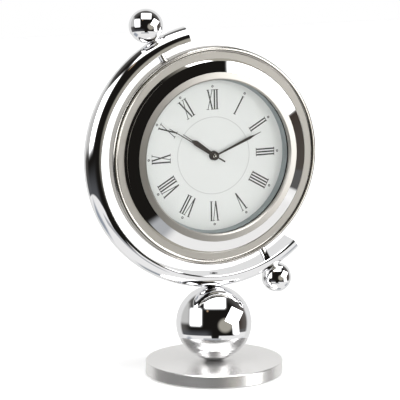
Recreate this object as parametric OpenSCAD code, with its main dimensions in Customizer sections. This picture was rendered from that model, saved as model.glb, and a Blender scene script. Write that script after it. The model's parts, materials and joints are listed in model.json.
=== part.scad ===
// Mantel clock: a round clock head that spins on a tilted axis inside an open arc,
// carried by a polished ball on a round brushed base.
// Millimetres, +Z up. The clock faces -Y. The origin is the centre of the underside.
// Head parts are drawn in the head's own frame: X to the right, Y up, Z towards the viewer.

/* [Base and ball] */
// Diameter of the base disc
base_d = 81.6; // [74:0.2:90]
// Height from the table to the top of the base disc
base_h = 8; // [7.6:0.1:10]
// Diameter of the supporting ball
ball_d = 45; // [42:0.5:50]

/* [Arc] */
// Radius of the flat inner face of the arc
arc_inner_r = 70.9; // [70:0.1:76]
// Radius of the half-round bar that the arc is bent from
arc_bar_r = 8; // [7:0.1:9]
// Angle that the arc runs on past each pivot
arc_overhang = 14.6; // [8:0.1:20]
// Diameter of the ball on the upper pivot
top_finial_d = 19.8; // [17:0.1:22]
// Diameter of the ball on the lower pivot
bottom_finial_d = 17.8; // [16:0.1:21]

/* [Pivot] */
// Lean of the head's spin axis from the vertical
pivot_tilt = 27.5; // [20:0.5:35]
// Turn of the head about its spin axis
head_turn = 4.2; // [-10:0.1:10]
// Radius of the two pivot pins
pin_r = 2.2; // [1.8:0.1:2.4]

/* [Clock head] */
// Outer radius of the head
drum_r = 64.6; // [63:0.1:66]
// Radius of the visible dial
dial_view_r = 44.4; // [43:0.1:45]
// Radius of the inner edge of the mirror ring
mirror_inner_r = 50; // [49.5:0.1:51]
// Radius of the outer edge of the mirror ring
mirror_outer_r = 56.3; // [55:0.1:56.8]

/* [Hands] */
// Clock angle of the hour hand
hour_angle = 305.6; // [0:0.1:360]
// Clock angle of the minute hand
minute_angle = 67.5; // [0:0.1:360]
// Clock angle of the second hand
second_angle = 302; // [0:0.1:360]

/* [Movement] */
// Width and height of the quartz movement
movement_w = 56; // [55:0.5:57]
// Diameter of the battery
battery_d = 14.2; // [13.5:0.1:14.2]
// Length of the battery body
battery_l = 49; // [44:0.5:50]

/* [Hidden] */
$fn = 96;

eps = 0.02;          // gap between fixed pieces that touch
run_gap = 0.05;      // radial clearance of a running fit
cut = 1;             // how far a cutting shape runs past a face

// Base and ball
felt_t = 1.2;
felt_r = base_d / 2 - 3.4;
plate_lift = 0.4;
edge_chamfer = 0.5;
base_screw_r = 2.5;
base_screw_head_r = 4.6;
base_screw_head_h = 3;
ball_r = ball_d / 2;
ball_flat = 0.25;
arc_seat = 0.35;
ball_z = base_h + ball_r - ball_flat;
base_screw_top = base_h + 13;

// Arc and finials
arc_outer_r = arc_inner_r + arc_bar_r;
head_z = ball_z + ball_r - arc_seat + arc_outer_r;
arc_start = -90 + pivot_tilt + arc_overhang;
arc_sweep = -180 - 2 * arc_overhang;
arc_edge_chamfer = 0.4;
arc_screw_r = 2;
arc_screw_head_r = 2.4;
arc_screw_socket_r = 1.2;
arc_screw_l = 20;
top_finial_seat = 0.5;
bottom_finial_seat = 1.8;
top_finial_at = arc_outer_r + top_finial_d / 2 - top_finial_seat;
bottom_finial_at = arc_outer_r + bottom_finial_d / 2 - bottom_finial_seat;
pin_inner_end = 58.9;
pin_depth_in_finial = 7;
pin_outer_end = arc_outer_r + pin_depth_in_finial;
bush_r = 2.9;
bush_inner_end = 58.6;
bush_outer_end = drum_r + 0.35;

// Head shell, heights along the head's own Z
drum_front = 4.2;
drum_back = -3.8;
drum_wall = 2.2;
rim_round = 1.8;
rim_rise = 0.8;
rear_round = 2;
ring_plate_t = 0.95;
groove_w = 1.3;
mirror_inner_z = 8.7;
mirror_outer_z = 6.1;
flange_z = 3.2;
flange_bottom = 2.1;
flange_r = 58.4;
bezel_inner_r = 45.5;
bezel_lip_z = 6.5;
bezel_top_r = 46.3;
bezel_top_z = 9.4;
bezel_shoulder_z = 8.6;
bezel_outer_r = mirror_inner_r - 0.05;
bezel_socket_r = 46.7;
lens_r = 46.6;
lens_t = 1.5;
gasket_t = 0.5;
dial_top = 0.6;
dial_t = 0.8;
dial_r = 49;
dial_hole_r = 2.9;
plate_t = 1.6;
plate_r = 57.6;
plate_top = dial_top - dial_t - eps;
plate_back = plate_top - plate_t;

// Rear cover
cover_t = 1.2;
cover_r = 62.8;
cover_flat_r = 48;
cover_edge_z = -5.6;
cover_back = -9.6;
cover_rim_r = drum_r - drum_wall - 0.1;
cover_rim_h = 0.7;
cover_screw_at = 42;
cover_screw_angles = [90, 210, 330];
cover_screw_r = 1;
cover_screw_head_r = 2.6;
post_r = 3;

// Movement case
case_front = plate_back - eps;
case_split = -8;
case_back = -17.4;
case_wall = 1.2;
case_corner = 4;
case_inner = movement_w / 2 - case_wall;
case_floor = case_front - case_wall;
case_roof = case_back + case_wall;
chamber_low = -10.4;
bay_top = -11.6;
battery_y = -19.2;
battery_z = case_floor - battery_d / 2 - 0.05;
contact_t = 0.4;
contact_w = 9;
nub_l = 1;
bush_tube_r = 2.75;
movement_screw_x = 23.4;
movement_screw_y = 23;

// Coaxial arbors
second_arbor_r = 0.5;
cannon_r = 1.2;
hour_tube_r = 2;
hub_r = 2.6;
hand_t = 0.35;
hour_hand_z = 1.7;
minute_hand_z = 2.7;
second_hand_z = 3.7;
second_hand_l = 34;
second_tail_l = 7;
second_boss_r = 1.1;

// Gear train: levels are the rear faces of the wheels
wheel_t = 0.8;
hour_level = -4.6;
motion_level = -5.8;
centre_level = -7.4;
third_level = -9.3;
second_level = -10.9;
intermediate_level = -12.5;
stud_r = 0.5;
third_reach = 9.5;
motion_reach = 8.4;
intermediate_reach = 8.75;
rotor_reach = 7.92;
third_dir = 150;
motion_dir = 30;
intermediate_dir = 100;
rotor_dir = 90;
knob_dir = 45;
third_at = third_reach * [cos(third_dir), sin(third_dir)];
motion_at = motion_reach * [cos(motion_dir), sin(motion_dir)];
intermediate_at = intermediate_reach * [cos(intermediate_dir), sin(intermediate_dir)];
rotor_at = intermediate_at + rotor_reach * [cos(rotor_dir), sin(rotor_dir)];
knob_at = motion_at + motion_reach * [cos(knob_dir), sin(knob_dir)];

// Tooth counts
cannon_teeth = 12;
motion_teeth = 36;
motion_pinion_teeth = 10;
hour_teeth = 40;
knob_teeth = 12;
second_teeth = 60;
second_pinion_teeth = 8;
third_teeth = 60;
third_pinion_teeth = 8;
centre_teeth = 64;
intermediate_teeth = 60;
intermediate_pinion_teeth = 10;
rotor_teeth = 12;

// Gear modules, from each pair's centre distance
cannon_m = 2 * motion_reach / (cannon_teeth + motion_teeth);
hour_m = 2 * motion_reach / (motion_pinion_teeth + hour_teeth);
knob_m = 2 * motion_reach / (motion_teeth + knob_teeth);
third_m = 2 * third_reach / (second_pinion_teeth + third_teeth);
centre_m = 2 * third_reach / (third_pinion_teeth + centre_teeth);
second_m = 2 * intermediate_reach / (second_teeth + intermediate_pinion_teeth);
rotor_m = 2 * rotor_reach / (intermediate_teeth + rotor_teeth);

// Electronics
magnet_r = 3;
magnet_t = 2;
magnet_back = -15;
rotor_arbor_r = 0.4;
stator_t = 1;
stator_back = -14.5;
stator_h = 8.6;
stator_drop = 4.6;
coil_y = 23.2;
coil_z = -12.9;
coil_r = 2.4;
coil_l = 17;
core_h = 2;
core_t = 0.8;
leg_w = 3.5;
board_x = 15.4;
board_y = -8;
board_w = 11;
board_l = 28;
board_t = 0.8;
board_back = -13;
crystal_r = 1;
crystal_l = 6;
knob_r = 6;
knob_t = 3.1;
knob_arbor_r = 1.5;
knob_grooves = 18;

// Angle of a tooth on a wheel of z2 teeth that meshes, in direction dir, with a wheel
// of z1 teeth that has a tooth at angle a
function mesh_angle(z1, a, dir, z2) = dir + 180 + (dir - a) * z1 / z2 + 180 / z2;

motion_phase = mesh_angle(cannon_teeth, 0, motion_dir, motion_teeth);
hour_phase = mesh_angle(motion_pinion_teeth, 0, motion_dir + 180, hour_teeth);
knob_phase = mesh_angle(motion_teeth, motion_phase, knob_dir, knob_teeth);
third_phase = mesh_angle(second_pinion_teeth, 0, third_dir, third_teeth);
centre_phase = mesh_angle(third_pinion_teeth, 0, third_dir + 180, centre_teeth);
intermediate_phase = mesh_angle(second_teeth, 0, intermediate_dir, intermediate_pinion_teeth);
rotor_phase = mesh_angle(intermediate_teeth, 0, rotor_dir, rotor_teeth);

// Points of a quarter round from angle a0 to a1
function round_points(cx, cz, r, a0, a1, steps = 8) =
    [for (i = [0 : steps]) let (a = a0 + (a1 - a0) * i / steps) [cx + r * cos(a), cz + r * sin(a)]];

// Frames

module head_frame() {
    translate([0, 0, head_z])
        rotate(a = head_turn, v = [-sin(pivot_tilt), 0, cos(pivot_tilt)])
            rotate([90, 0, 0])
                children();
}

// Z runs outward along the spin axis, to the upper or the lower pivot
module pivot_frame(lower = false) {
    translate([0, 0, head_z])
        rotate([0, (lower ? 180 : 0) - pivot_tilt, 0])
            children();
}

// The pivot line in the head's own frame
module head_pivot_line(lower = false) {
    rotate([0, 0, pivot_tilt + (lower ? 180 : 0)])
        rotate([-90, 0, 0])
            children();
}

// Shared shapes

module tube(r_out, r_in, z0, z1) {
    difference() {
        translate([0, 0, z0]) cylinder(r = r_out, h = z1 - z0);
        translate([0, 0, z0 - cut]) cylinder(r = r_in, h = z1 - z0 + 2 * cut);
    }
}

module rod(r, z0, z1) {
    translate([0, 0, z0]) cylinder(r = r, h = z1 - z0);
}

module rounded_block(w, z0, z1, corner) {
    half = w / 2;
    translate([-half, -half + corner, z0]) cube([w, w - 2 * corner, z1 - z0]);
    translate([-half + corner, -half, z0]) cube([w - 2 * corner, w, z1 - z0]);
    for (sx = [-1, 1], sy = [-1, 1])
        translate([sx * (half - corner), sy * (half - corner), z0])
            cylinder(r = corner, h = z1 - z0, $fn = 48);
}

module gear_teeth(teeth, m, level, phase = 0) {
    pitch = 360 / teeth;
    r_root = m * teeth / 2 - 1.2 * m;
    r_tip = m * teeth / 2 + 0.75 * m;
    outline = [
        for (i = [0 : teeth - 1], c = [[-0.27, r_root], [-0.1, r_tip], [0.1, r_tip], [0.27, r_root]])
            let (a = phase + (i + c[0]) * pitch) c[1] * [cos(a), sin(a)]
    ];
    translate([0, 0, level]) linear_extrude(wheel_t) polygon(outline);
}

// Solid that the arc fills, larger by gap all round
module arc_envelope(gap) {
    translate([0, 0, head_z])
        rotate([90, 0, 0])
            rotate_extrude($fn = 192)
                translate([arc_inner_r, 0])
                    intersection() {
                        circle(r = arc_bar_r + gap);
                        translate([-gap, -arc_bar_r - gap]) square(2 * (arc_bar_r + gap));
                    }
}

// Stand

module base_plate() {
    outer = base_d / 2;
    color("gainsboro")
        rotate_extrude($fn = 192)
            polygon([
                [base_screw_r + eps, base_screw_head_h + felt_t],
                [base_screw_head_r + 0.2, base_screw_head_h + felt_t],
                [base_screw_head_r + 0.2, felt_t],
                [felt_r + 0.2, felt_t],
                [felt_r + 0.2, plate_lift],
                [outer - edge_chamfer, plate_lift],
                [outer, plate_lift + edge_chamfer],
                [outer, base_h - edge_chamfer],
                [outer - edge_chamfer, base_h],
                [base_screw_r + eps, base_h]
            ]);
}

module base_felt() {
    color("darkgreen") rod(felt_r, 0, felt_t - eps);
}

module base_screw() {
    head_top = felt_t + base_screw_head_h - eps;
    color("dimgray")
        difference() {
            union() {
                rod(base_screw_head_r, felt_t, head_top);
                rod(base_screw_r, head_top, base_screw_top);
            }
            translate([0, 0, felt_t - cut]) cylinder(r = 2, h = cut + 1.6, $fn = 6);
        }
}

module stand_ball() {
    color("silver")
        difference() {
            translate([0, 0, ball_z]) sphere(r = ball_r, $fn = 160);
            translate([-ball_r, -ball_r, ball_z - ball_d + eps]) cube([ball_d, ball_d, ball_r + ball_flat]);
            rod(base_screw_r + run_gap, 0, base_screw_top + 1);
            rod(arc_screw_r + run_gap, ball_z + ball_r - arc_screw_l, ball_z + ball_r);
            arc_envelope(eps);
        }
}

module meridian_arc() {
    color("silver")
        difference() {
            translate([0, 0, head_z])
                rotate([90, 0, 0])
                    rotate([0, 0, arc_start])
                        rotate_extrude(angle = arc_sweep, $fn = 192)
                            translate([arc_inner_r, 0]) arc_section();
            for (lower = [false, true])
                pivot_frame(lower) rod(pin_r + eps, arc_inner_r - cut, arc_outer_r + cut);
            rod(arc_screw_r + run_gap, head_z - arc_outer_r - cut, head_z - arc_inner_r + cut);
            rod(arc_screw_head_r + eps, head_z - arc_inner_r - 2.2, head_z - arc_inner_r + cut);
        }
}

// Half disc with a small chamfer along its two sharp edges
module arc_section() {
    r = arc_bar_r;
    c = arc_edge_chamfer;
    intersection() {
        circle(r = r);
        polygon([[0, -r + c], [c, -r], [r, -r], [r, r], [c, r], [0, r - c]]);
    }
}

module arc_screw() {
    top = head_z - arc_inner_r - 0.25;
    color("dimgray")
        difference() {
            union() {
                rod(arc_screw_head_r, top - 1.9, top);
                rod(arc_screw_r, head_z - arc_inner_r - arc_screw_l, top - 1.9);
            }
            translate([0, 0, top - 1.2]) cylinder(r = arc_screw_socket_r, h = 2, $fn = 6);
        }
}

module finial(d, at, lower) {
    color("silver")
        difference() {
            pivot_frame(lower) translate([0, 0, at]) sphere(r = d / 2, $fn = 128);
            pivot_frame(lower) rod(pin_r + eps, arc_inner_r, pin_outer_end + 0.5);
            arc_envelope(eps);
        }
}

module top_finial() {
    finial(top_finial_d, top_finial_at, false);
}

module bottom_finial() {
    finial(bottom_finial_d, bottom_finial_at, true);
}

module pivot_pin(lower) {
    color("lightgray") pivot_frame(lower) rod(pin_r, pin_inner_end, pin_outer_end);
}

module top_pivot_pin() {
    pivot_pin(false);
}

module bottom_pivot_pin() {
    pivot_pin(true);
}

// Head shell

module case_drum() {
    inner = drum_r - drum_wall;
    ring_inner = mirror_outer_r + groove_w;
    rim_top = drum_front + rim_rise;
    face_angle = 180 - asin((rim_round - rim_rise) / rim_round);
    color("silver")
        head_frame()
            difference() {
                rotate_extrude($fn = 192)
                    polygon(concat(
                        [[inner, drum_back]],
                        round_points(drum_r - rear_round, drum_back + rear_round, rear_round, -90, 0),
                        round_points(drum_r - rim_round, rim_top - rim_round, rim_round, 0, face_angle, 14),
                        [
                            [ring_inner, drum_front],
                            [ring_inner, drum_front - ring_plate_t],
                            [inner, drum_front - ring_plate_t]
                        ]
                    ));
                for (lower = [false, true])
                    head_pivot_line(lower) rod(bush_r + eps, inner - 2, drum_r + 2);
            }
}

module mirror_ring() {
    color("whitesmoke")
        head_frame()
            rotate_extrude($fn = 192)
                polygon([
                    [mirror_inner_r, flange_bottom],
                    [mirror_inner_r, mirror_inner_z],
                    [mirror_outer_r, mirror_outer_z],
                    [mirror_outer_r, flange_z],
                    [flange_r, flange_z],
                    [flange_r, flange_bottom],
                    [mirror_outer_r - 1, flange_bottom],
                    [mirror_outer_r - 1, plate_top + eps],
                    [mirror_outer_r - 3, plate_top + eps],
                    [mirror_outer_r - 3, flange_bottom]
                ]);
}

module inner_bezel() {
    color("silver")
        head_frame()
            rotate_extrude($fn = 192)
                polygon([
                    [bezel_inner_r, bezel_lip_z],
                    [bezel_inner_r, bezel_shoulder_z],
                    [bezel_top_r, bezel_top_z],
                    [bezel_outer_r, mirror_inner_z],
                    [bezel_outer_r, flange_bottom],
                    [dial_r - 0.4, flange_bottom],
                    [dial_r - 0.4, dial_top + eps],
                    [bezel_socket_r, dial_top + eps],
                    [bezel_socket_r, bezel_lip_z]
                ]);
}

module dial_surround() {
    color("lightgray")
        head_frame()
            rotate_extrude($fn = 192)
                polygon([
                    [dial_view_r, dial_top + eps],
                    [bezel_inner_r - 0.1, bezel_lip_z - lens_t - 2 * eps],
                    [bezel_inner_r + 0.1, bezel_lip_z - lens_t - 2 * eps],
                    [bezel_inner_r + 0.1, bezel_lip_z - lens_t - gasket_t - 3 * eps],
                    [lens_r, bezel_lip_z - lens_t - gasket_t - 3 * eps],
                    [lens_r, dial_top + eps]
                ]);
}

module lens() {
    color("lightblue", 0.35)
        head_frame() rod(lens_r, bezel_lip_z - eps - lens_t, bezel_lip_z - eps);
}

module lens_gasket() {
    top = bezel_lip_z - lens_t - 2 * eps;
    color("black")
        head_frame() tube(lens_r, bezel_inner_r + 0.15, top - gasket_t, top);
}

module dial() {
    color("white")
        head_frame() tube(dial_r, dial_hole_r, dial_top - dial_t, dial_top);
}

module dial_plate() {
    post_end = cover_back + cover_t + eps;
    color("dimgray")
        head_frame()
            difference() {
                union() {
                    tube(plate_r, dial_hole_r, plate_back, plate_top);
                    for (a = cover_screw_angles)
                        rotate([0, 0, a]) translate([cover_screw_at, 0, 0]) rod(post_r, post_end, plate_back + 0.2);
                }
                for (a = cover_screw_angles)
                    rotate([0, 0, a])
                        translate([cover_screw_at, 0, 0]) rod(cover_screw_r + eps, post_end - cut, plate_back - 0.6);
                for (sx = [-1, 1])
                    translate([sx * movement_screw_x, movement_screw_y, 0])
                        rod(0.9 + eps, plate_back - cut, plate_back + 1.2);
            }
}

module pivot_bush(lower) {
    color("goldenrod") head_frame() head_pivot_line(lower) tube(bush_r, pin_r + run_gap, bush_inner_end, bush_outer_end);
}

module top_bush() {
    pivot_bush(false);
}

module bottom_bush() {
    pivot_bush(true);
}

module rear_cover() {
    slope_in = cover_flat_r - 0.4;
    rim_in = cover_rim_r - 1.3;
    color("silver")
        head_frame()
            difference() {
                rotate_extrude($fn = 192)
                    polygon([
                        [0, cover_back],
                        [cover_flat_r, cover_back],
                        [cover_r, cover_edge_z],
                        [cover_r, drum_back - eps],
                        [cover_rim_r, drum_back - eps],
                        [cover_rim_r, drum_back + cover_rim_h],
                        [rim_in, drum_back + cover_rim_h],
                        [rim_in, cover_edge_z + 0.5],
                        [slope_in, cover_back + cover_t],
                        [0, cover_back + cover_t]
                    ]);
                rounded_block(movement_w + 0.6, cover_back - cut, cover_back + cover_t + cut, case_corner + 0.3);
                for (a = cover_screw_angles)
                    rotate([0, 0, a])
                        translate([cover_screw_at, 0, 0]) rod(cover_screw_r + 0.2, cover_back - cut, cover_back + cover_t + cut);
            }
}

module rear_cover_screws() {
    color("darkgray")
        head_frame()
            for (a = cover_screw_angles)
                rotate([0, 0, a])
                    translate([cover_screw_at, 0, 0])
                        difference() {
                            union() {
                                rod(cover_screw_r, cover_back - 0.1, plate_back - 1);
                                rod(cover_screw_head_r, cover_back - 1.4, cover_back - eps);
                            }
                            translate([-0.35, -1.8, cover_back - 1.4 - cut]) cube([0.7, 3.6, cut + 0.6]);
                            translate([-1.8, -0.35, cover_back - 1.4 - cut]) cube([3.6, 0.7, cut + 0.6]);
                        }
}

// Movement case

module case_rooms(z0, z1) {
    translate([-case_inner, chamber_low, z0]) cube([2 * case_inner, case_inner - chamber_low, z1 - z0]);
    translate([-case_inner, -case_inner, z0]) cube([2 * case_inner, case_inner + bay_top, z1 - z0]);
}

module movement_front_case() {
    color("black")
        head_frame()
            difference() {
                union() {
                    difference() {
                        rounded_block(movement_w, case_split, case_front, case_corner);
                        case_rooms(case_split - cut, case_floor);
                    }
                    rod(bush_tube_r, case_floor, dial_top - 0.1);
                    translate(third_at) rod(stud_r, third_level - 0.4, case_floor + 0.2);
                    translate(motion_at) rod(stud_r + 0.3, motion_level - 0.4, case_floor + 0.2);
                }
                rod(hour_tube_r + run_gap, case_floor - cut, dial_top + cut);
                translate(rotor_at) rod(rotor_arbor_r + run_gap, case_floor - cut, case_floor + 0.8);
                translate(knob_at) rod(knob_arbor_r - 0.5 + run_gap, case_floor - cut, case_floor + 0.8);
                for (sx = [-1, 1])
                    translate([sx * movement_screw_x, movement_screw_y, 0]) rod(0.95, case_floor - cut, case_front + cut);
            }
}

module movement_rear_case() {
    bay_cut_h = 2 * cut + case_wall;
    color("black")
        head_frame()
            difference() {
                union() {
                    difference() {
                        rounded_block(movement_w, case_back, case_split - eps, case_corner);
                        case_rooms(case_roof, case_split + cut);
                    }
                    rod(1.4, case_roof - 0.2, second_level - 4);
                    translate(intermediate_at) rod(stud_r, case_roof - 0.2, intermediate_level + 2.6);
                    translate(rotor_at) rod(1.1, case_roof - 0.2, magnet_back - 0.2);
                    for (y = [board_y + 3, board_y + board_l - 3])
                        translate([board_x + board_w / 2, y, 0]) rod(1.3, case_roof - 0.2, board_back - eps);
                }
                rod(second_arbor_r + run_gap, case_roof, second_level);
                translate(rotor_at) rod(rotor_arbor_r + run_gap, case_roof + 0.1, magnet_back + cut);
                translate(knob_at) rod(knob_arbor_r + run_gap, case_back - cut, case_roof + cut);
                translate([-case_inner, -case_inner, case_back - cut]) cube([2 * case_inner, case_inner + bay_top, bay_cut_h]);
                translate([-8, -movement_w / 2 - cut, case_back - cut]) cube([16, case_wall + 2 * cut, 5]);
            }
}

module movement_screws() {
    color("darkgray")
        head_frame()
            for (sx = [-1, 1])
                translate([sx * movement_screw_x, movement_screw_y, 0])
                    difference() {
                        union() {
                            rod(0.9, case_floor - 0.1, plate_back + 1);
                            rod(1.9, case_floor - 1.1, case_floor - eps);
                        }
                        translate([-0.25, -1.3, case_floor - 1.1 - cut]) cube([0.5, 2.6, cut + 0.5]);
                        translate([-1.3, -0.25, case_floor - 1.1 - cut]) cube([2.6, 0.5, cut + 0.5]);
                    }
}

// Electronics

module circuit_board() {
    color("darkgreen")
        head_frame() {
            translate([board_x, board_y, board_back]) cube([board_w, board_l, board_t]);
            translate([board_x + 5.5, board_y + 20, board_back + board_t]) cylinder(r1 = 2.4, r2 = 1.6, h = 1.1);
        }
}

module quartz_crystal() {
    color("lightgray")
        head_frame()
            translate([board_x + 5.5, board_y + 14, board_back + board_t + crystal_r + eps])
                rotate([90, 0, 0]) cylinder(r = crystal_r, h = crystal_l);
}

module coil_winding() {
    color("peru")
        head_frame()
            translate([rotor_at[0], coil_y, coil_z])
                rotate([0, 90, 0])
                    difference() {
                        cylinder(r = coil_r, h = coil_l, center = true);
                        cube([core_t + 2 * eps, core_h + 2 * eps, coil_l + 2 * cut], center = true);
                    }
}

module coil_core() {
    span = coil_l + 2 * leg_w + 2;
    color("dimgray")
        head_frame()
            translate([rotor_at[0] - span / 2, coil_y - core_h / 2, coil_z - core_t / 2]) cube([span, core_h, core_t]);
}

module stator() {
    span = coil_l + 2 * leg_w + 2;
    low_y = rotor_at[1] - stator_drop;
    high_y = coil_y + core_h / 2;
    top = stator_back + stator_t;
    color("gray")
        head_frame()
            difference() {
                union() {
                    translate([rotor_at[0] - span / 2, low_y, stator_back]) cube([span, stator_h, stator_t]);
                    for (sx = [-1, 1])
                        translate([rotor_at[0] + sx * (span - leg_w) / 2 - leg_w / 2, low_y, stator_back])
                            cube([leg_w, high_y - low_y, stator_t]);
                    for (sx = [-1, 1])
                        translate([rotor_at[0] + sx * (span - leg_w) / 2 - leg_w / 2, coil_y - core_h / 2, top - 0.1])
                            cube([leg_w, core_h, coil_z - core_t / 2 - eps - top + 0.1]);
                }
                translate(rotor_at) rod(magnet_r + 0.4, stator_back - cut, top + cut);
            }
}

module battery() {
    color("darkorange")
        head_frame()
            translate([0, battery_y, battery_z])
                rotate([0, 90, 0]) {
                    cylinder(r = battery_d / 2, h = battery_l, center = true);
                    translate([0, 0, battery_l / 2 - 0.1]) cylinder(r = 2.7, h = nub_l + 0.1);
                }
}

module contact(x) {
    color("gold")
        head_frame()
            translate([x - contact_t / 2, battery_y - contact_w / 2, case_back + 2.5])
                cube([contact_t, contact_w, case_floor - case_back - 3]);
}

module contact_positive() {
    contact(battery_l / 2 + nub_l + contact_t / 2 + eps);
}

module contact_negative() {
    contact(-battery_l / 2 - contact_t / 2 - eps);
}

// Hands and gear train

module hand_outline(l, neck, belly, belly_at) {
    needle = 0.22;
    polygon([
        [-neck, 0], [-belly, belly_at * l], [-needle, (belly_at + 0.12) * l], [-needle * 0.6, l],
        [needle * 0.6, l], [needle, (belly_at + 0.12) * l], [belly, belly_at * l], [neck, 0]
    ]);
}

module hand(l, neck, belly, belly_at, bore, z, angle) {
    difference() {
        translate([0, 0, z])
            union() {
                cylinder(r = hub_r, h = hand_t);
                rotate([0, 0, -angle]) linear_extrude(hand_t) hand_outline(l, neck, belly, belly_at);
            }
        rod(bore, z - cut, z + hand_t + cut);
    }
}

module hour_wheel() {
    color("ivory")
        head_frame()
            difference() {
                union() {
                    gear_teeth(hour_teeth, hour_m, hour_level, hour_phase);
                    rod(hour_tube_r, hour_level, hour_hand_z + hand_t);
                }
                rod(cannon_r + run_gap, hour_level - cut, hour_hand_z + hand_t + cut);
            }
}

module hour_hand() {
    color("saddlebrown")
        head_frame() hand(24, 0.9, 1.6, 0.6, hour_tube_r + eps, hour_hand_z, hour_angle);
}

module cannon_pinion() {
    color("ivory")
        head_frame()
            difference() {
                union() {
                    gear_teeth(cannon_teeth, cannon_m, motion_level);
                    rod(cannon_r, centre_level - 0.1, minute_hand_z + hand_t);
                }
                rod(second_arbor_r + run_gap, centre_level - cut, minute_hand_z + hand_t + cut);
            }
}

module minute_hand() {
    color("saddlebrown")
        head_frame() hand(32, 0.45, 0.8, 0.75, cannon_r + eps, minute_hand_z, minute_angle);
}

module second_wheel() {
    color("ivory")
        head_frame() {
            gear_teeth(second_teeth, second_m, second_level);
            gear_teeth(second_pinion_teeth, third_m, third_level);
            rod(second_arbor_r, case_roof + 0.1, second_hand_z + hand_t);
        }
}

module second_hand() {
    color("saddlebrown")
        head_frame()
            difference() {
                translate([0, 0, second_hand_z])
                    rotate([0, 0, -second_angle])
                        union() {
                            cylinder(r = second_boss_r, h = hand_t);
                            linear_extrude(hand_t)
                                polygon([
                                    [-0.45, -second_tail_l],
                                    [0.45, -second_tail_l],
                                    [0.18, second_hand_l],
                                    [-0.18, second_hand_l]
                                ]);
                        }
                rod(second_arbor_r + eps, second_hand_z - cut, second_hand_z + hand_t + cut);
            }
}

module centre_wheel() {
    color("ivory")
        head_frame()
            difference() {
                gear_teeth(centre_teeth, centre_m, centre_level, centre_phase);
                rod(cannon_r + run_gap, centre_level - cut, centre_level + wheel_t + cut);
            }
}

module third_wheel() {
    color("ivory")
        head_frame()
            translate(third_at)
                difference() {
                    union() {
                        gear_teeth(third_teeth, third_m, third_level, third_phase);
                        gear_teeth(third_pinion_teeth, centre_m, centre_level);
                        rod(0.75, third_level, centre_level + 0.1);
                    }
                    rod(stud_r + run_gap, third_level - cut, centre_level + wheel_t + cut);
                }
}

module intermediate_wheel() {
    color("ivory")
        head_frame()
            translate(intermediate_at)
                difference() {
                    union() {
                        gear_teeth(intermediate_teeth, rotor_m, intermediate_level);
                        gear_teeth(intermediate_pinion_teeth, second_m, second_level, intermediate_phase);
                        rod(0.85, intermediate_level, second_level + 0.1);
                    }
                    rod(stud_r + run_gap, intermediate_level - cut, second_level + wheel_t + cut);
                }
}

module rotor() {
    color("darkred")
        head_frame()
            translate(rotor_at) {
                gear_teeth(rotor_teeth, rotor_m, intermediate_level, rotor_phase);
                rod(rotor_arbor_r, case_roof + 0.2, case_floor + 0.7);
                rod(magnet_r, magnet_back, magnet_back + magnet_t);
            }
}

module motion_wheel() {
    color("ivory")
        head_frame()
            translate(motion_at)
                difference() {
                    union() {
                        gear_teeth(motion_teeth, cannon_m, motion_level, motion_phase);
                        gear_teeth(motion_pinion_teeth, hour_m, hour_level);
                        rod(1.1, motion_level, hour_level + 0.1);
                    }
                    rod(stud_r + 0.3 + run_gap, motion_level - cut, hour_level + wheel_t + cut);
                }
}

module setting_knob() {
    top = case_back - 0.4;
    color("dimgray")
        head_frame()
            translate(knob_at) {
                difference() {
                    rod(knob_r, top - knob_t, top);
                    for (i = [0 : knob_grooves - 1])
                        rotate([0, 0, i * 360 / knob_grooves])
                            translate([knob_r + 0.35, 0, 0]) rod(0.8, top - knob_t - cut, top + cut);
                }
                rod(knob_arbor_r, top - 0.1, motion_level - 0.3);
                gear_teeth(knob_teeth, knob_m, motion_level, knob_phase);
                rod(knob_arbor_r - 0.5, motion_level - 0.4, case_floor + 0.7);
            }
}

base_plate();
base_felt();
base_screw();
stand_ball();
meridian_arc();
arc_screw();
top_finial();
bottom_finial();
top_pivot_pin();
bottom_pivot_pin();
case_drum();
mirror_ring();
inner_bezel();
dial_surround();
lens();
lens_gasket();
dial();
dial_plate();
top_bush();
bottom_bush();
rear_cover();
rear_cover_screws();
movement_front_case();
movement_rear_case();
movement_screws();
circuit_board();
quartz_crystal();
coil_winding();
coil_core();
stator();
battery();
contact_positive();
contact_negative();
hour_wheel();
hour_hand();
cannon_pinion();
minute_hand();
second_wheel();
second_hand();
centre_wheel();
third_wheel();
intermediate_wheel();
rotor();
motion_wheel();
setting_knob();
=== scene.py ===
"""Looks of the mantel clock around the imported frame: materials, dial printing, light and camera."""
import bpy
import bmesh
import json
import math
from mathutils import Matrix, Vector


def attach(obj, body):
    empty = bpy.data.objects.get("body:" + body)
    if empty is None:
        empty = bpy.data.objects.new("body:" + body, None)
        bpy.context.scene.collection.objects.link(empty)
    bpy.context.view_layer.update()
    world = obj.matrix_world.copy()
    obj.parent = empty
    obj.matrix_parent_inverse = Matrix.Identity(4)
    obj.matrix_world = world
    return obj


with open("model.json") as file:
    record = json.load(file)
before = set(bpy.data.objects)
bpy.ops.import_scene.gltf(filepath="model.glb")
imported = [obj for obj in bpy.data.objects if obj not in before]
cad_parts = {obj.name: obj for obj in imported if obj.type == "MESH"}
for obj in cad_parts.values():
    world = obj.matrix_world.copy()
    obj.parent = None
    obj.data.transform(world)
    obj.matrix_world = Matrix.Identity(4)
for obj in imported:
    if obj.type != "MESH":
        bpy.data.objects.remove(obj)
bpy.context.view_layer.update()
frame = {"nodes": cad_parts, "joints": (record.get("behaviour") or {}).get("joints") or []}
NODES = frame["nodes"]

MM = 0.001
JOINTS = {joint["name"]: joint for joint in frame["joints"]}
HEAD_CENTRE = Vector(JOINTS["second_spin"]["pos_m"])
DIAL_BACK = Vector(JOINTS["second_spin"]["axis"]).normalized()
SPIN_AXIS = Vector(JOINTS["head_spin"]["axis"]).normalized()

# Angle between the spin axis and the dial's twelve o'clock direction, in degrees
SPIN_AXIS_LEAN = 27.5

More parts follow.
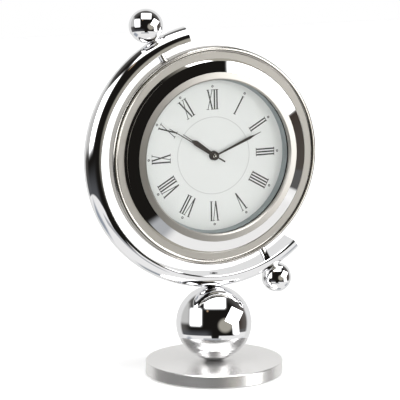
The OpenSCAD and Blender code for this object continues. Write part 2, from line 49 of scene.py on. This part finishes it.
# Camera: angles in degrees, places in metres, lens and sensor in millimetres
CAMERA_AZIMUTH = -18.8
CAMERA_ELEVATION = 11.1
CAMERA_ROLL = -0.3
CAMERA_DISTANCE = 1.534
CAMERA_TARGET = Vector((-0.0083, 0.0, 0.1051))
CAMERA_LENS = 234.5
CAMERA_SENSOR = 36.0
CAMERA_CLIP_START = 0.05
CAMERA_CLIP_END = 20.0

# Fill lamp, in watts and metres
FILL_POWER = 17.0
FILL_DISTANCE = 2.0
FILL_SIZE = 1.2

# Floor and shading, in metres and degrees
FLOOR_SIZE = 3.0
SHARP_ANGLE = 30.0


# Frames

def camera_axes():
    """Right, up and backward directions of the main view."""
    azimuth = math.radians(CAMERA_AZIMUTH)
    elevation = math.radians(CAMERA_ELEVATION)
    back = Vector((
        math.sin(azimuth) * math.cos(elevation),
        -math.cos(azimuth) * math.cos(elevation),
        math.sin(elevation),
    ))
    right = Vector((0, 0, 1)).cross(back).normalized()
    up = back.cross(right)
    roll = math.radians(CAMERA_ROLL)
    tilted_right = right * math.cos(roll) + up * math.sin(roll)
    tilted_up = up * math.cos(roll) - right * math.sin(roll)
    return tilted_right, tilted_up, back


def head_matrix():
    """The head's own frame: X right, Y up, Z towards the viewer, origin at the middle of the dial."""
    z_axis = -DIAL_BACK
    tilt = math.radians(SPIN_AXIS_LEAN)
    spin_right = z_axis.cross(SPIN_AXIS) * -1
    y_axis = SPIN_AXIS * math.cos(tilt) + spin_right * math.sin(tilt)
    x_axis = y_axis.cross(z_axis)
    rotation = Matrix((x_axis, y_axis, z_axis)).transposed().to_4x4()
    return Matrix.Translation(HEAD_CENTRE) @ rotation


HEAD = head_matrix()
HEAD_AXES = (HEAD.col[0].xyz, HEAD.col[1].xyz, HEAD.col[2].xyz)
WORLD_AXES = (Vector((1, 0, 0)), Vector((0, 1, 0)), Vector((0, 0, 1)))


# Node helpers

def new_material(name):
    material = bpy.data.materials.new(name)
    material.use_nodes = True
    tree = material.node_tree
    shader = tree.nodes["Principled BSDF"]
    return material, tree, shader


def add(tree, kind, **settings):
    node = tree.nodes.new(kind)
    for key, value in settings.items():
        setattr(node, key, value)
    return node


def link(tree, source, target):
    tree.links.new(source, target)


def math_node(tree, operation, first, second=None, third=None):
    node = add(tree, "ShaderNodeMath", operation=operation)
    for index, value in enumerate((first, second, third)):
        if value is None:
            continue
        if isinstance(value, (int, float)):
            node.inputs[index].default_value = value
        else:
            link(tree, value, node.inputs[index])
    return node.outputs[0]


def vector_math(tree, operation, first, second=None):
    node = add(tree, "ShaderNodeVectorMath", operation=operation)
    for index, value in enumerate((first, second)):
        if value is None:
            continue
        if isinstance(value, (tuple, Vector)):
            node.inputs[index].default_value = tuple(value)
        else:
            link(tree, value, node.inputs[index])
    return node


def object_coords(tree, origin=None, axes=None):
    """Object coordinates, or their components along the given axes from the given origin."""
    coords = add(tree, "ShaderNodeTexCoord").outputs["Object"]
    if axes is None:
        return coords
    local = vector_math(tree, "SUBTRACT", coords, tuple(origin)).outputs["Vector"]
    combine = add(tree, "ShaderNodeCombineXYZ")
    for index, axis in enumerate(axes):
        along = vector_math(tree, "DOT_PRODUCT", local, tuple(axis)).outputs["Value"]
        link(tree, along, combine.inputs[index])
    return combine.outputs["Vector"]


def mix_colors(tree, factor, first, second):
    node = add(tree, "ShaderNodeMix", data_type="RGBA")
    link(tree, factor, node.inputs["Factor"])
    for value, socket in ((first, node.inputs[6]), (second, node.inputs[7])):
        if isinstance(value, tuple):
            socket.default_value = (*value, 1)
        else:
            link(tree, value, socket)
    return node.outputs[2]


def map_range(tree, value, low, high, to_low=0.0, to_high=1.0, smooth=False):
    node = add(tree, "ShaderNodeMapRange")
    if smooth:
        node.interpolation_type = "SMOOTHSTEP"
    link(tree, value, node.inputs["Value"])
    node.inputs["From Min"].default_value = low
    node.inputs["From Max"].default_value = high
    node.inputs["To Min"].default_value = to_low
    node.inputs["To Max"].default_value = to_high
    return node.outputs["Result"]


def noise(tree, coords, scale, detail=3.0, roughness=0.5):
    node = add(tree, "ShaderNodeTexNoise")
    link(tree, coords, node.inputs["Vector"])
    node.inputs["Scale"].default_value = scale
    node.inputs["Detail"].default_value = detail
    node.inputs["Roughness"].default_value = roughness
    return node.outputs["Fac"]


def bump(tree, shader, height, strength, distance):
    node = add(tree, "ShaderNodeBump")
    node.inputs["Strength"].default_value = strength
    node.inputs["Distance"].default_value = distance
    link(tree, height, node.inputs["Height"])
    link(tree, node.outputs["Normal"], shader.inputs["Normal"])


# Metals

# Case edge: its roughness as a share of the satin face's, then where it starts and how softly, in metres
RIM_POLISH = 0.45
RIM_START = 0.0613
RIM_BLEND = 0.0001

# Turning lines: how many in a metre of radius, how they change round the ring, and their depth in metres
LINES_PER_METRE = 6000.0
LINE_CHANGE = 2.0
LINE_DEPTH = 0.00002


def polished_metal(name, color, roughness, wear):
    """Mirror-bright plating with a faint uneven polish."""
    material, tree, shader = new_material(name)
    coords = object_coords(tree)
    smudge = noise(tree, coords, 60.0, 4.0)
    shader.inputs["Base Color"].default_value = (*color, 1)
    shader.inputs["Metallic"].default_value = 1.0
    link(tree, map_range(tree, smudge, 0.35, 0.75, roughness, roughness + wear), shader.inputs["Roughness"])
    return material


def axis_radius(tree, local):
    """Distance from the local Z axis."""
    flat = vector_math(tree, "MULTIPLY", local, (1.0, 1.0, 0.0)).outputs["Vector"]
    return vector_math(tree, "LENGTH", flat).outputs["Value"]


def ring_streaks(tree, local):
    """Fine concentric lines about the local Z axis."""
    parts = add(tree, "ShaderNodeSeparateXYZ")
    link(tree, local, parts.inputs[0])
    radius = axis_radius(tree, local)
    across = add(tree, "ShaderNodeCombineXYZ")
    link(tree, math_node(tree, "MULTIPLY", radius, LINES_PER_METRE), across.inputs["X"])
    link(tree, math_node(tree, "MULTIPLY", parts.outputs["Z"], LINES_PER_METRE), across.inputs["Y"])
    angle = math_node(tree, "ARCTAN2", parts.outputs["Y"], parts.outputs["X"])
    link(tree, math_node(tree, "MULTIPLY", angle, LINE_CHANGE), across.inputs["Z"])
    return noise(tree, across.outputs["Vector"], 1.0, 3.0, 0.6)


def turned_metal(name, color, origin, axes, roughness, streak=0.08, brushed=0.0, rim=None, metallic=1.0):
    """Satin metal with fine turning lines about an axis, and a brighter polish beyond the rim radius."""
    material, tree, shader = new_material(name)
    local = object_coords(tree, origin, axes)
    lines = ring_streaks(tree, local)
    broad = noise(tree, local, 40.0, 2.0)
    darker = tuple(c * (1 - streak) for c in color)
    link(tree, mix_colors(tree, lines, darker, color), shader.inputs["Base Color"])
    shader.inputs["Metallic"].default_value = metallic
    rough = math_node(tree, "MULTIPLY_ADD", lines, 0.08, roughness - 0.04)
    rough = math_node(tree, "MULTIPLY_ADD", broad, 0.04, math_node(tree, "SUBTRACT", rough, 0.02))
    if rim:
        satin = map_range(tree, axis_radius(tree, local), rim - RIM_BLEND, rim + RIM_BLEND, 1.0, 0.0)
        share = math_node(tree, "MULTIPLY_ADD", satin, 1 - RIM_POLISH, RIM_POLISH)
        rough = math_node(tree, "MULTIPLY", rough, share)
    link(tree, rough, shader.inputs["Roughness"])
    bump(tree, shader, lines, 0.25, LINE_DEPTH)
    if brushed:
        shader.inputs["Anisotropic"].default_value = brushed
        tangent = add(tree, "ShaderNodeTangent", direction_type="RADIAL", axis="Z")
        link(tree, tangent.outputs["Tangent"], shader.inputs["Tangent"])
    return material


# Plain materials

def grained(name, color, roughness, metallic=0.0, scale=900.0, depth=0.00003, spread=0.08):
    """Paint or moulded plastic with a fine grain."""
    material, tree, shader = new_material(name)
    coords = object_coords(tree)
    grain = noise(tree, coords, scale, 3.0)
    patch = noise(tree, coords, 45.0, 2.0)
    lighter = tuple(min(1.0, c * (1 + spread) + 0.002) for c in color)
    link(tree, mix_colors(tree, patch, color, lighter), shader.inputs["Base Color"])
    shader.inputs["Metallic"].default_value = metallic
    spread_roughness = map_range(tree, grain, 0.3, 0.7, roughness - 0.05, roughness + 0.05)
    link(tree, spread_roughness, shader.inputs["Roughness"])
    bump(tree, shader, grain, 0.3, depth)
    return material


# Dial paint: its colour in the middle, its colour at the edge with painted shade from the bezel, and the
# radii between which that painted shade comes in, in metres
DIAL_MIDDLE = (0.88, 0.885, 0.875)
DIAL_SHADED_EDGE = (0.85, 0.86, 0.845)
DIAL_PAINTED_SHADE_START = 0.030
DIAL_PAINTED_SHADE_END = 0.0445


def dial_paint():
    """Pale silvered dial, very slightly darker towards its edge, with painted shade where the bezel's wall
    shades it.
    """
    material, tree, shader = new_material("dial_paint")
    local = object_coords(tree, HEAD_CENTRE, HEAD_AXES)
    grain = noise(tree, local, 2500.0, 2.0)
    radius = vector_math(tree, "LENGTH", local).outputs["Value"]
    # painted shade: the dial darkens towards its edge, where the bezel's wall shades it
    edge = map_range(tree, radius, DIAL_PAINTED_SHADE_START, DIAL_PAINTED_SHADE_END, smooth=True)
    color = mix_colors(tree, edge, DIAL_MIDDLE, DIAL_SHADED_EDGE)
    link(tree, color, shader.inputs["Base Color"])
    link(tree, map_range(tree, grain, 0.3, 0.7, 0.42, 0.52), shader.inputs["Roughness"])
    bump(tree, shader, grain, 0.15, 0.00001)
    return material


def clear_glass():
    """Flat mineral glass: clear, with a light surface reflection."""
    material, tree, shader = new_material("clear_glass")
    tree.nodes.remove(shader)
    output = tree.nodes["Material Output"]
    clear = add(tree, "ShaderNodeBsdfTransparent")
    clear.inputs["Color"].default_value = (0.985, 0.99, 0.988, 1)
    gloss = add(tree, "ShaderNodeBsdfGlossy")
    gloss.inputs["Roughness"].default_value = 0.02
    fresnel = add(tree, "ShaderNodeFresnel")
    fresnel.inputs["IOR"].default_value = 1.35
    mixer = add(tree, "ShaderNodeMixShader")
    link(tree, fresnel.outputs["Fac"], mixer.inputs["Fac"])
    link(tree, clear.outputs["BSDF"], mixer.inputs[1])
    link(tree, gloss.outputs["BSDF"], mixer.inputs[2])
    link(tree, mixer.outputs["Shader"], output.inputs["Surface"])
    return material


def felt_cloth():
    material, tree, shader = new_material("felt_cloth")
    coords = object_coords(tree)
    fibre = noise(tree, coords, 1800.0, 5.0, 0.7)
    green = mix_colors(tree, fibre, (0.012, 0.02, 0.015), (0.03, 0.045, 0.035))
    link(tree, green, shader.inputs["Base Color"])
    shader.inputs["Roughness"].default_value = 0.95
    shader.inputs["Sheen Weight"].default_value = 0.4
    bump(tree, shader, fibre, 0.6, 0.0002)
    return material


NICKEL = (0.52, 0.50, 0.465)


def make_materials():
    origin = Vector((0, 0, 0))
    return {
        "chrome": polished_metal("chrome_plate", (0.93, 0.93, 0.94), 0.015, 0.015),
        "mirror": polished_metal("mirror_plate", (0.95, 0.95, 0.95), 0.01, 0.01),
        "satin": turned_metal("satin_nickel", NICKEL, HEAD_CENTRE, HEAD_AXES, 0.42, rim=RIM_START),
        "base": turned_metal(
            "brushed_base", (0.93, 0.92, 0.91), origin, WORLD_AXES, 0.24, 0.06, brushed=0.75, metallic=0.86,
        ),
        # the dial surround's metal is darkened and tinted blue-grey as painted shade inside the dial's recess
        "surround": turned_metal("surround_metal_painted_shade", (0.44, 0.48, 0.50), HEAD_CENTRE, HEAD_AXES, 0.4),
        "cover": turned_metal("cover_metal", (0.6, 0.58, 0.55), HEAD_CENTRE, HEAD_AXES, 0.4),
        "felt": felt_cloth(),
        "steel": grained("screw_steel", (0.42, 0.42, 0.43), 0.3, 1.0),
        "dark_steel": grained("dark_steel", (0.08, 0.08, 0.085), 0.35, 1.0),
        "nickel": grained("bush_nickel", (0.66, 0.65, 0.62), 0.25, 1.0),
        "glass": clear_glass(),
        "rubber": grained("gasket_rubber", (0.015, 0.015, 0.015), 0.7),
        "dial": dial_paint(),
        "plate": grained("plate_metal", (0.55, 0.55, 0.56), 0.45, 1.0),
        "case": grained("case_plastic", (0.014, 0.014, 0.015), 0.5, 0.0, 1400.0, 0.00005, 0.3),
        "board": grained("board_green", (0.01, 0.09, 0.035), 0.4),
        "copper": grained("copper_wire", (0.7, 0.3, 0.14), 0.35, 1.0),
        "iron": grained("soft_iron", (0.3, 0.3, 0.32), 0.4, 1.0),
        "battery": grained("battery_jacket", (0.03, 0.045, 0.07), 0.3),
        "contact": grained("contact_metal", (0.7, 0.66, 0.55), 0.3, 1.0),
        "gear": grained("gear_plastic", (0.78, 0.77, 0.7), 0.45),
        "magnet": grained("rotor_magnet", (0.1, 0.09, 0.09), 0.45),
        "hand": grained("hand_lacquer", (0.035, 0.026, 0.022), 0.38, 0.0, 700.0),
        "knob": grained("knob_plastic", (0.018, 0.018, 0.02), 0.45, 0.0, 1400.0, 0.00005, 0.3),
        "ink": grained("dial_ink", (0.045, 0.043, 0.042), 0.5),
        # light grey that paints the shade of the dial's embossed circle; the circle itself is not printed
        "emboss_painted_shade": grained("emboss_painted_shade", (0.62, 0.62, 0.61), 0.5),
    }


NODE_FINISH = {
    "chrome": [
        "stand_ball", "meridian_arc", "top_finial", "bottom_finial",
        "top_pivot_pin", "bottom_pivot_pin",
    ],
    "mirror": ["mirror_ring"],
    "satin": ["case_drum", "inner_bezel"],
    "surround": ["dial_surround"],
    "base": ["base_plate"],
    "cover": ["rear_cover"],
    "felt": ["base_felt"],
    "steel": ["rear_cover_screws", "movement_screws", "quartz_crystal"],
    "dark_steel": ["base_screw", "arc_screw"],
    "nickel": ["top_bush", "bottom_bush"],
    "glass": ["lens"],
    "rubber": ["lens_gasket"],
    "dial": ["dial"],
    "plate": ["dial_plate"],
    "case": ["movement_front_case", "movement_rear_case"],
    "board": ["circuit_board"],
    "copper": ["coil_winding"],
    "iron": ["coil_core", "stator"],
    "battery": ["battery"],
    "contact": ["contact_positive", "contact_negative"],
    "gear": [
        "hour_wheel", "cannon_pinion", "second_wheel", "centre_wheel",
        "third_wheel", "intermediate_wheel", "motion_wheel",
    ],
    "magnet": ["rotor"],
    "hand": ["hour_hand", "minute_hand", "second_hand"],
    "knob": ["setting_knob"],
}


def smooth_node(obj):
    """Smooth shading on curved faces, sharp where they meet at more than the sharp angle."""
    for polygon in obj.data.polygons:
        polygon.use_smooth = True
    obj.data.set_sharp_from_angle(angle=math.radians(SHARP_ANGLE))


def dress_nodes(materials):
    for finish, names in NODE_FINISH.items():
        for name in names:
            obj = NODES[name]
            obj.data.materials.clear()
            obj.data.materials.append(materials[finish])
            smooth_node(obj)


# Dial printing, and painted shade for the embossed circle

class Sheet:
    """Collects flat printed shapes, and painted shade for the embossed circle, in the head's frame as thin
    solids.
    """

    def __init__(self, name, z_low, z_high):
        self.name = name
        self.z_low = z_low
        self.z_high = z_high
        self.mesh = bmesh.new()

    def solid(self, outline):
        """A thin solid from a flat outline given in millimetres."""
        low = [self.mesh.verts.new((x * MM, y * MM, self.z_low * MM)) for x, y in outline]
        high = [self.mesh.verts.new((x * MM, y * MM, self.z_high * MM)) for x, y in outline]
        count = len(outline)
        self.mesh.faces.new(high)
        self.mesh.faces.new(list(reversed(low)))
        for i in range(count):
            j = (i + 1) % count
            self.mesh.faces.new((low[i], low[j], high[j], high[i]))

    def ring(self, centre, r_in, r_out, steps):
        """A thin flat ring about a point."""
        loops = []
        corners = ((r_in, self.z_low), (r_out, self.z_low), (r_out, self.z_high), (r_in, self.z_high))
        for radius, height in corners:
            loop = []
            for i in range(steps):
                a = 2 * math.pi * i / steps
                x = centre[0] + radius * math.cos(a)
                y = centre[1] + radius * math.sin(a)
                loop.append(self.mesh.verts.new((x * MM, y * MM, height * MM)))
            loops.append(loop)
        for k in range(4):
            first, second = loops[k], loops[(k + 1) % 4]
            for i in range(steps):
                j = (i + 1) % steps
                self.mesh.faces.new((first[i], second[i], second[j], first[j]))

    def finish(self, material, body="head"):
        """Turns the collected solids into one piece that rides on a body: print for numerals and dots,
        painted shade for the embossed circle.
        """
        bmesh.ops.recalc_face_normals(self.mesh, faces=self.mesh.faces)
        data = bpy.data.meshes.new(self.name)
        self.mesh.to_mesh(data)
        self.mesh.free()
        data.transform(HEAD)
        obj = bpy.data.objects.new(self.name, data)
        bpy.context.scene.collection.objects.link(obj)
        data.materials.append(material)
        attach(obj, body)


# Dial printing and the painted shade of the embossed circle, in millimetres in the head's frame
DIAL_TOP = 0.6
INK_LIFT = 0.04
NUMERAL_FOOT = 27.2
NUMERAL_TOP = 39.0
HOUR_RING_AT = 40.9
HOUR_RING_INNER = 0.32
HOUR_RING_OUTER = 0.72
HOUR_RING_STEPS = 24
CIRCLE_RADIUS = 22.8
CIRCLE_HALF_WIDTH = 0.18
CIRCLE_STEPS = 160
THICK_STROKE = 0.85
THIN_STROKE = 0.42
THICK_INSET = 0.55
THIN_INSET = 0.5
SERIF_HALF = 0.85
SERIF_HEIGHT = 0.32
LETTER_WIDTH = {"I": 1.65, "V": 3.9, "X": 3.9}
NUMERALS = ["XII", "I", "II", "III", "IIII", "V", "VI", "VII", "VIII", "IX", "X", "XI"]
HOUR_ANGLE = 30


def stroke(x0, y0, x1, y1, width):
    """A straight bar with level ends, leaning from its foot to its top."""
    half = width / 2
    return [(x0 - half, y0), (x0 + half, y0), (x1 + half, y1), (x1 - half, y1)]


def letter_strokes(letter, x, foot, top):
    """Strokes of one numeral letter, how wide it is and where its serifs go, with x at its left edge."""
    width = LETTER_WIDTH[letter]
    if letter == "I":
        middle = x + width / 2
        strokes = [stroke(middle, foot, middle, top, THICK_STROKE)]
        return strokes, width, [(middle, foot), (middle, top)]
    if letter == "V":
        strokes = [
            stroke(x + width / 2, foot, x + THICK_INSET, top, THICK_STROKE),
            stroke(x + width / 2, foot, x + width - THIN_INSET, top, THIN_STROKE),
        ]
        return strokes, width, [(x + THICK_INSET, top), (x + width - THIN_INSET, top)]
    strokes = [
        stroke(x + width - THICK_INSET, foot, x + THICK_INSET, top, THICK_STROKE),
        stroke(x + THIN_INSET, foot, x + width - THIN_INSET, top, THIN_STROKE),
    ]
    serifs = [
        (x + THICK_INSET, top), (x + width - THIN_INSET, top),
        (x + THIN_INSET, foot), (x + width - THICK_INSET, foot),
    ]
    return strokes, width, serifs


def numeral_outlines(text):
    """Outlines of a Roman numeral centred on x = 0, feet towards the dial's centre."""
    foot, top = NUMERAL_FOOT, NUMERAL_TOP
    total = sum(LETTER_WIDTH[letter] for letter in text)
    x = -total / 2
    outlines = []
    for letter in text:
        strokes, width, serifs = letter_strokes(letter, x, foot, top)
        outlines += strokes
        for sx, sy in serifs:
            y0 = sy if sy == foot else sy - SERIF_HEIGHT
            y1 = y0 + SERIF_HEIGHT
            left, right = sx - SERIF_HALF, sx + SERIF_HALF
            outlines.append([(left, y0), (right, y0), (right, y1), (left, y1)])
        x += width
    return outlines


def turned(outline, clock_hour):
    """The outline turned about the dial's centre to a clock hour."""
    a = -math.radians(HOUR_ANGLE * clock_hour)
    return [(x * math.cos(a) - y * math.sin(a), x * math.sin(a) + y * math.cos(a)) for x, y in outline]


def print_dial_and_paint_emboss_shade(materials):
    numerals = Sheet("dial_numerals", DIAL_TOP, DIAL_TOP + INK_LIFT)
    for hour, text in enumerate(NUMERALS):
        for outline in numeral_outlines(text):
            numerals.solid(turned(outline, hour))
    numerals.finish(materials["ink"])
    hour_rings = Sheet("minute_rings", DIAL_TOP, DIAL_TOP + INK_LIFT)
    for hour in range(len(NUMERALS)):
        a = math.radians(90 - HOUR_ANGLE * hour)
        centre = (HOUR_RING_AT * math.cos(a), HOUR_RING_AT * math.sin(a))
        hour_rings.ring(centre, HOUR_RING_INNER, HOUR_RING_OUTER, HOUR_RING_STEPS)
    hour_rings.finish(materials["ink"])
    # the embossed circle's shade is painted as a thin light grey ring
    circle = Sheet("embossed_circle_painted_shade", DIAL_TOP, DIAL_TOP + INK_LIFT)
    inner = CIRCLE_RADIUS - CIRCLE_HALF_WIDTH
    outer = CIRCLE_RADIUS + CIRCLE_HALF_WIDTH
    circle.ring((0.0, 0.0), inner, outer, CIRCLE_STEPS)
    circle.finish(materials["emboss_painted_shade"])


# Stage

# The studio is fixed to the world. Its u and v come from a direction alone: they are the place, from
# -1 to 1, where a mirror ball would show that direction to the main view.
ROOM_DARK = (0.010, 0.009, 0.008)
ROOM_BROWN = (0.026, 0.014, 0.008)
ROOM_LOW_RIGHT = (0.055, 0.055, 0.057)
ROOM_OUTER = (0.30, 0.29, 0.28)
ROOM_HAZE = (0.10, 0.105, 0.115)
LEFT_WALL = (0.55, 0.55, 0.54)
PALE_PATCH = (0.38, 0.36, 0.31)
WARM_PATCH = (0.45, 0.30, 0.18)
TABLE_COLOR = (0.87, 0.865, 0.86)
SURROUND_COLOR = (0.78, 0.78, 0.775)
BACKDROP_COLOR = (1.0, 1.0, 1.0)
BOX_LIGHT = (4.0, 4.0, 4.0)
BOX_FALLOFF = 2.5
OUTER_SHARE = 0.35
HAZE_SHARE = 0.8

# Soft boxes: centre, size, turn in degrees, softness
SOFT_BOXES = [
    ((-0.48, 0.15), (0.32, 0.48), 0, 0.06),
    ((0.03, 0.55), (0.58, 0.36), 0, 0.06),
    ((0.532, 0.168), (0.345, 0.42), -28, 0.012),
    ((0.57, -0.11), (0.17, 0.40), 4, 0.04),
]

# Soft darker patches on the table: centre, size, turn in degrees, softness, colour
TABLE_STREAKS = [
    ((-0.04, -0.43), (0.46, 0.06), 0, 0.015, (0.42, 0.43, 0.45)),
    ((-0.60, -0.50), (0.26, 0.16), -38, 0.05, (0.30, 0.33, 0.38)),
    ((0.68, -0.52), (0.26, 0.12), 38, 0.05, (0.36, 0.38, 0.42)),
    ((0.00, -0.80), (0.62, 0.08), 0, 0.05, (0.20, 0.23, 0.27)),
]


def world_light(right, up, back):
    """A dark studio with soft boxes in front, pale behind and below, plain white to the camera."""
    world = bpy.data.worlds.new("studio")
    bpy.context.scene.world = world
    world.use_nodes = True
    tree = world.node_tree
    tree.nodes.clear()
    output = add(tree, "ShaderNodeOutputWorld")
    direction = add(tree, "ShaderNodeTexCoord").outputs["Generated"]
    unit = vector_math(tree, "NORMALIZE", direction).outputs["Vector"]
    half = vector_math(tree, "ADD", unit, tuple(back)).outputs["Vector"]
    normal = vector_math(tree, "NORMALIZE", half).outputs["Vector"]
    u = vector_math(tree, "DOT_PRODUCT", normal, tuple(right)).outputs["Value"]
    v = vector_math(tree, "DOT_PRODUCT", normal, tuple(up)).outputs["Value"]

    def inside(value, low, high, soft):
        rise = map_range(tree, value, low - soft, low + soft, smooth=True)
        fall = map_range(tree, value, high - soft, high + soft, 1.0, 0.0, smooth=True)
        return math_node(tree, "MULTIPLY", rise, fall)

    def panel(centre, size, turn, soft):
        """A soft-edged rectangle in the plane of u and v."""
        a = math.radians(turn)
        du = math_node(tree, "SUBTRACT", u, centre[0])
        dv = math_node(tree, "SUBTRACT", v, centre[1])
        along = math_node(tree, "ADD", math_node(tree, "MULTIPLY", du, math.cos(a)),
                          math_node(tree, "MULTIPLY", dv, math.sin(a)))
        across = math_node(tree, "SUBTRACT", math_node(tree, "MULTIPLY", dv, math.cos(a)),
                           math_node(tree, "MULTIPLY", du, math.sin(a)))
        return math_node(tree, "MULTIPLY", inside(along, -size[0] / 2, size[0] / 2, soft),
                         inside(across, -size[1] / 2, size[1] / 2, soft))

    def spot(centre, bright, faded):
        """A round patch that fades out between two radii."""
        du = math_node(tree, "SUBTRACT", u, centre[0])
        dv = math_node(tree, "SUBTRACT", v, centre[1])
        squares = math_node(tree, "ADD", math_node(tree, "POWER", du, 2.0), math_node(tree, "POWER", dv, 2.0))
        return map_range(tree, math_node(tree, "SQRT", squares), bright, faded, 1.0, 0.0, smooth=True)

    radius = math_node(tree, "SQRT", math_node(tree, "ADD", math_node(tree, "POWER", u, 2.0),
                                               math_node(tree, "POWER", v, 2.0)))
    surround = map_range(tree, radius, 0.84, 0.90, smooth=True)
    right_rise = map_range(tree, u, 0.50, 0.70, 0.0, -0.075, smooth=True)
    dip = math_node(tree, "MULTIPLY_ADD", inside(u, -0.06, 0.125, 0.012), 0.09, right_rise)
    horizon = math_node(tree, "ADD", v, dip)
    table = map_range(tree, horizon, -0.325, -0.34, smooth=True)
    low_right = math_node(tree, "MULTIPLY", map_range(tree, u, 0.62, 0.66, smooth=True),
                          map_range(tree, v, -0.165, -0.18, smooth=True))
    brown = map_range(tree, u, 0.62, 0.70, smooth=True)
    room = mix_colors(tree, brown, ROOM_DARK, ROOM_BROWN)
    room = mix_colors(tree, low_right, room, ROOM_LOW_RIGHT)
    outer = map_range(tree, radius, 0.60, 0.86, smooth=True)
    room = mix_colors(tree, math_node(tree, "MULTIPLY", outer, OUTER_SHARE), room, ROOM_OUTER)
    haze = math_node(tree, "MULTIPLY", map_range(tree, v, -0.14, -0.33, smooth=True),
                     map_range(tree, u, 0.0, -0.25, smooth=True))
    room = mix_colors(tree, math_node(tree, "MULTIPLY", haze, HAZE_SHARE), room, ROOM_HAZE)
    left_wall = panel((-0.80, 0.25), (0.30, 0.56), 0, 0.06)
    room = mix_colors(tree, left_wall, room, LEFT_WALL)
    pale_patch = spot((0.30, -0.06), 0.13, 0.23)
    room = mix_colors(tree, pale_patch, room, PALE_PATCH)
    warm_patch = spot((-0.17, 0.32), 0.01, 0.04)
    room = mix_colors(tree, warm_patch, room, WARM_PATCH)
    room = mix_colors(tree, table, room, TABLE_COLOR)
    for centre, size, turn, soft, color in TABLE_STREAKS:
        room = mix_colors(tree, panel(centre, size, turn, soft), room, color)
    room = mix_colors(tree, surround, room, SURROUND_COLOR)
    boxes = [panel(*box) for box in SOFT_BOXES]
    lit = boxes[0]
    for box in boxes[1:]:
        lit = math_node(tree, "MAXIMUM", lit, box)
    lit = math_node(tree, "POWER", lit, BOX_FALLOFF)
    scene_color = mix_colors(tree, lit, room, BOX_LIGHT)
    light_path = add(tree, "ShaderNodeLightPath")
    seen = mix_colors(tree, light_path.outputs["Is Camera Ray"], scene_color, BACKDROP_COLOR)
    background = add(tree, "ShaderNodeBackground")
    link(tree, seen, background.inputs["Color"])
    link(tree, background.outputs["Background"], output.inputs["Surface"])


def make_floor():
    bpy.ops.mesh.primitive_plane_add(size=FLOOR_SIZE, location=(0, 0, 0))
    floor = bpy.context.object
    floor.name = "floor"
    material, tree, shader = new_material("floor_white")
    coords = object_coords(tree)
    grain = noise(tree, coords, 300.0, 2.0)
    link(tree, mix_colors(tree, grain, (0.93, 0.93, 0.93), (0.96, 0.96, 0.96)), shader.inputs["Base Color"])
    shader.inputs["Roughness"].default_value = 0.9
    floor.data.materials.append(material)
    floor.visible_glossy = False


def make_fill(right, up, back):
    """A large soft lamp behind the camera that lifts paint and print; metal doesn't mirror it."""
    data = bpy.data.lights.new("fill", "AREA")
    data.size = FILL_SIZE
    data.energy = FILL_POWER
    lamp = bpy.data.objects.new("fill", data)
    bpy.context.scene.collection.objects.link(lamp)
    rotation = Matrix((right, up, back)).transposed().to_4x4()
    lamp.matrix_world = Matrix.Translation(CAMERA_TARGET + back * FILL_DISTANCE) @ rotation
    lamp.visible_glossy = False
    lamp.visible_camera = False


def make_camera(right, up, back):
    data = bpy.data.cameras.new("camera")
    camera = bpy.data.objects.new("camera", data)
    bpy.context.scene.collection.objects.link(camera)
    data.lens = CAMERA_LENS
    data.sensor_width = CAMERA_SENSOR
    data.clip_start = CAMERA_CLIP_START
    data.clip_end = CAMERA_CLIP_END
    rotation = Matrix((right, up, back)).transposed().to_4x4()
    camera.matrix_world = Matrix.Translation(CAMERA_TARGET + back * CAMERA_DISTANCE) @ rotation
    bpy.context.scene.camera = camera


def main():
    right, up, back = camera_axes()
    make_camera(right, up, back)
    make_floor()
    world_light(right, up, back)
    make_fill(right, up, back)
    bpy.context.scene.view_settings.view_transform = "Standard"
    materials = make_materials()
    dress_nodes(materials)
    print_dial_and_paint_emboss_shade(materials)


main()
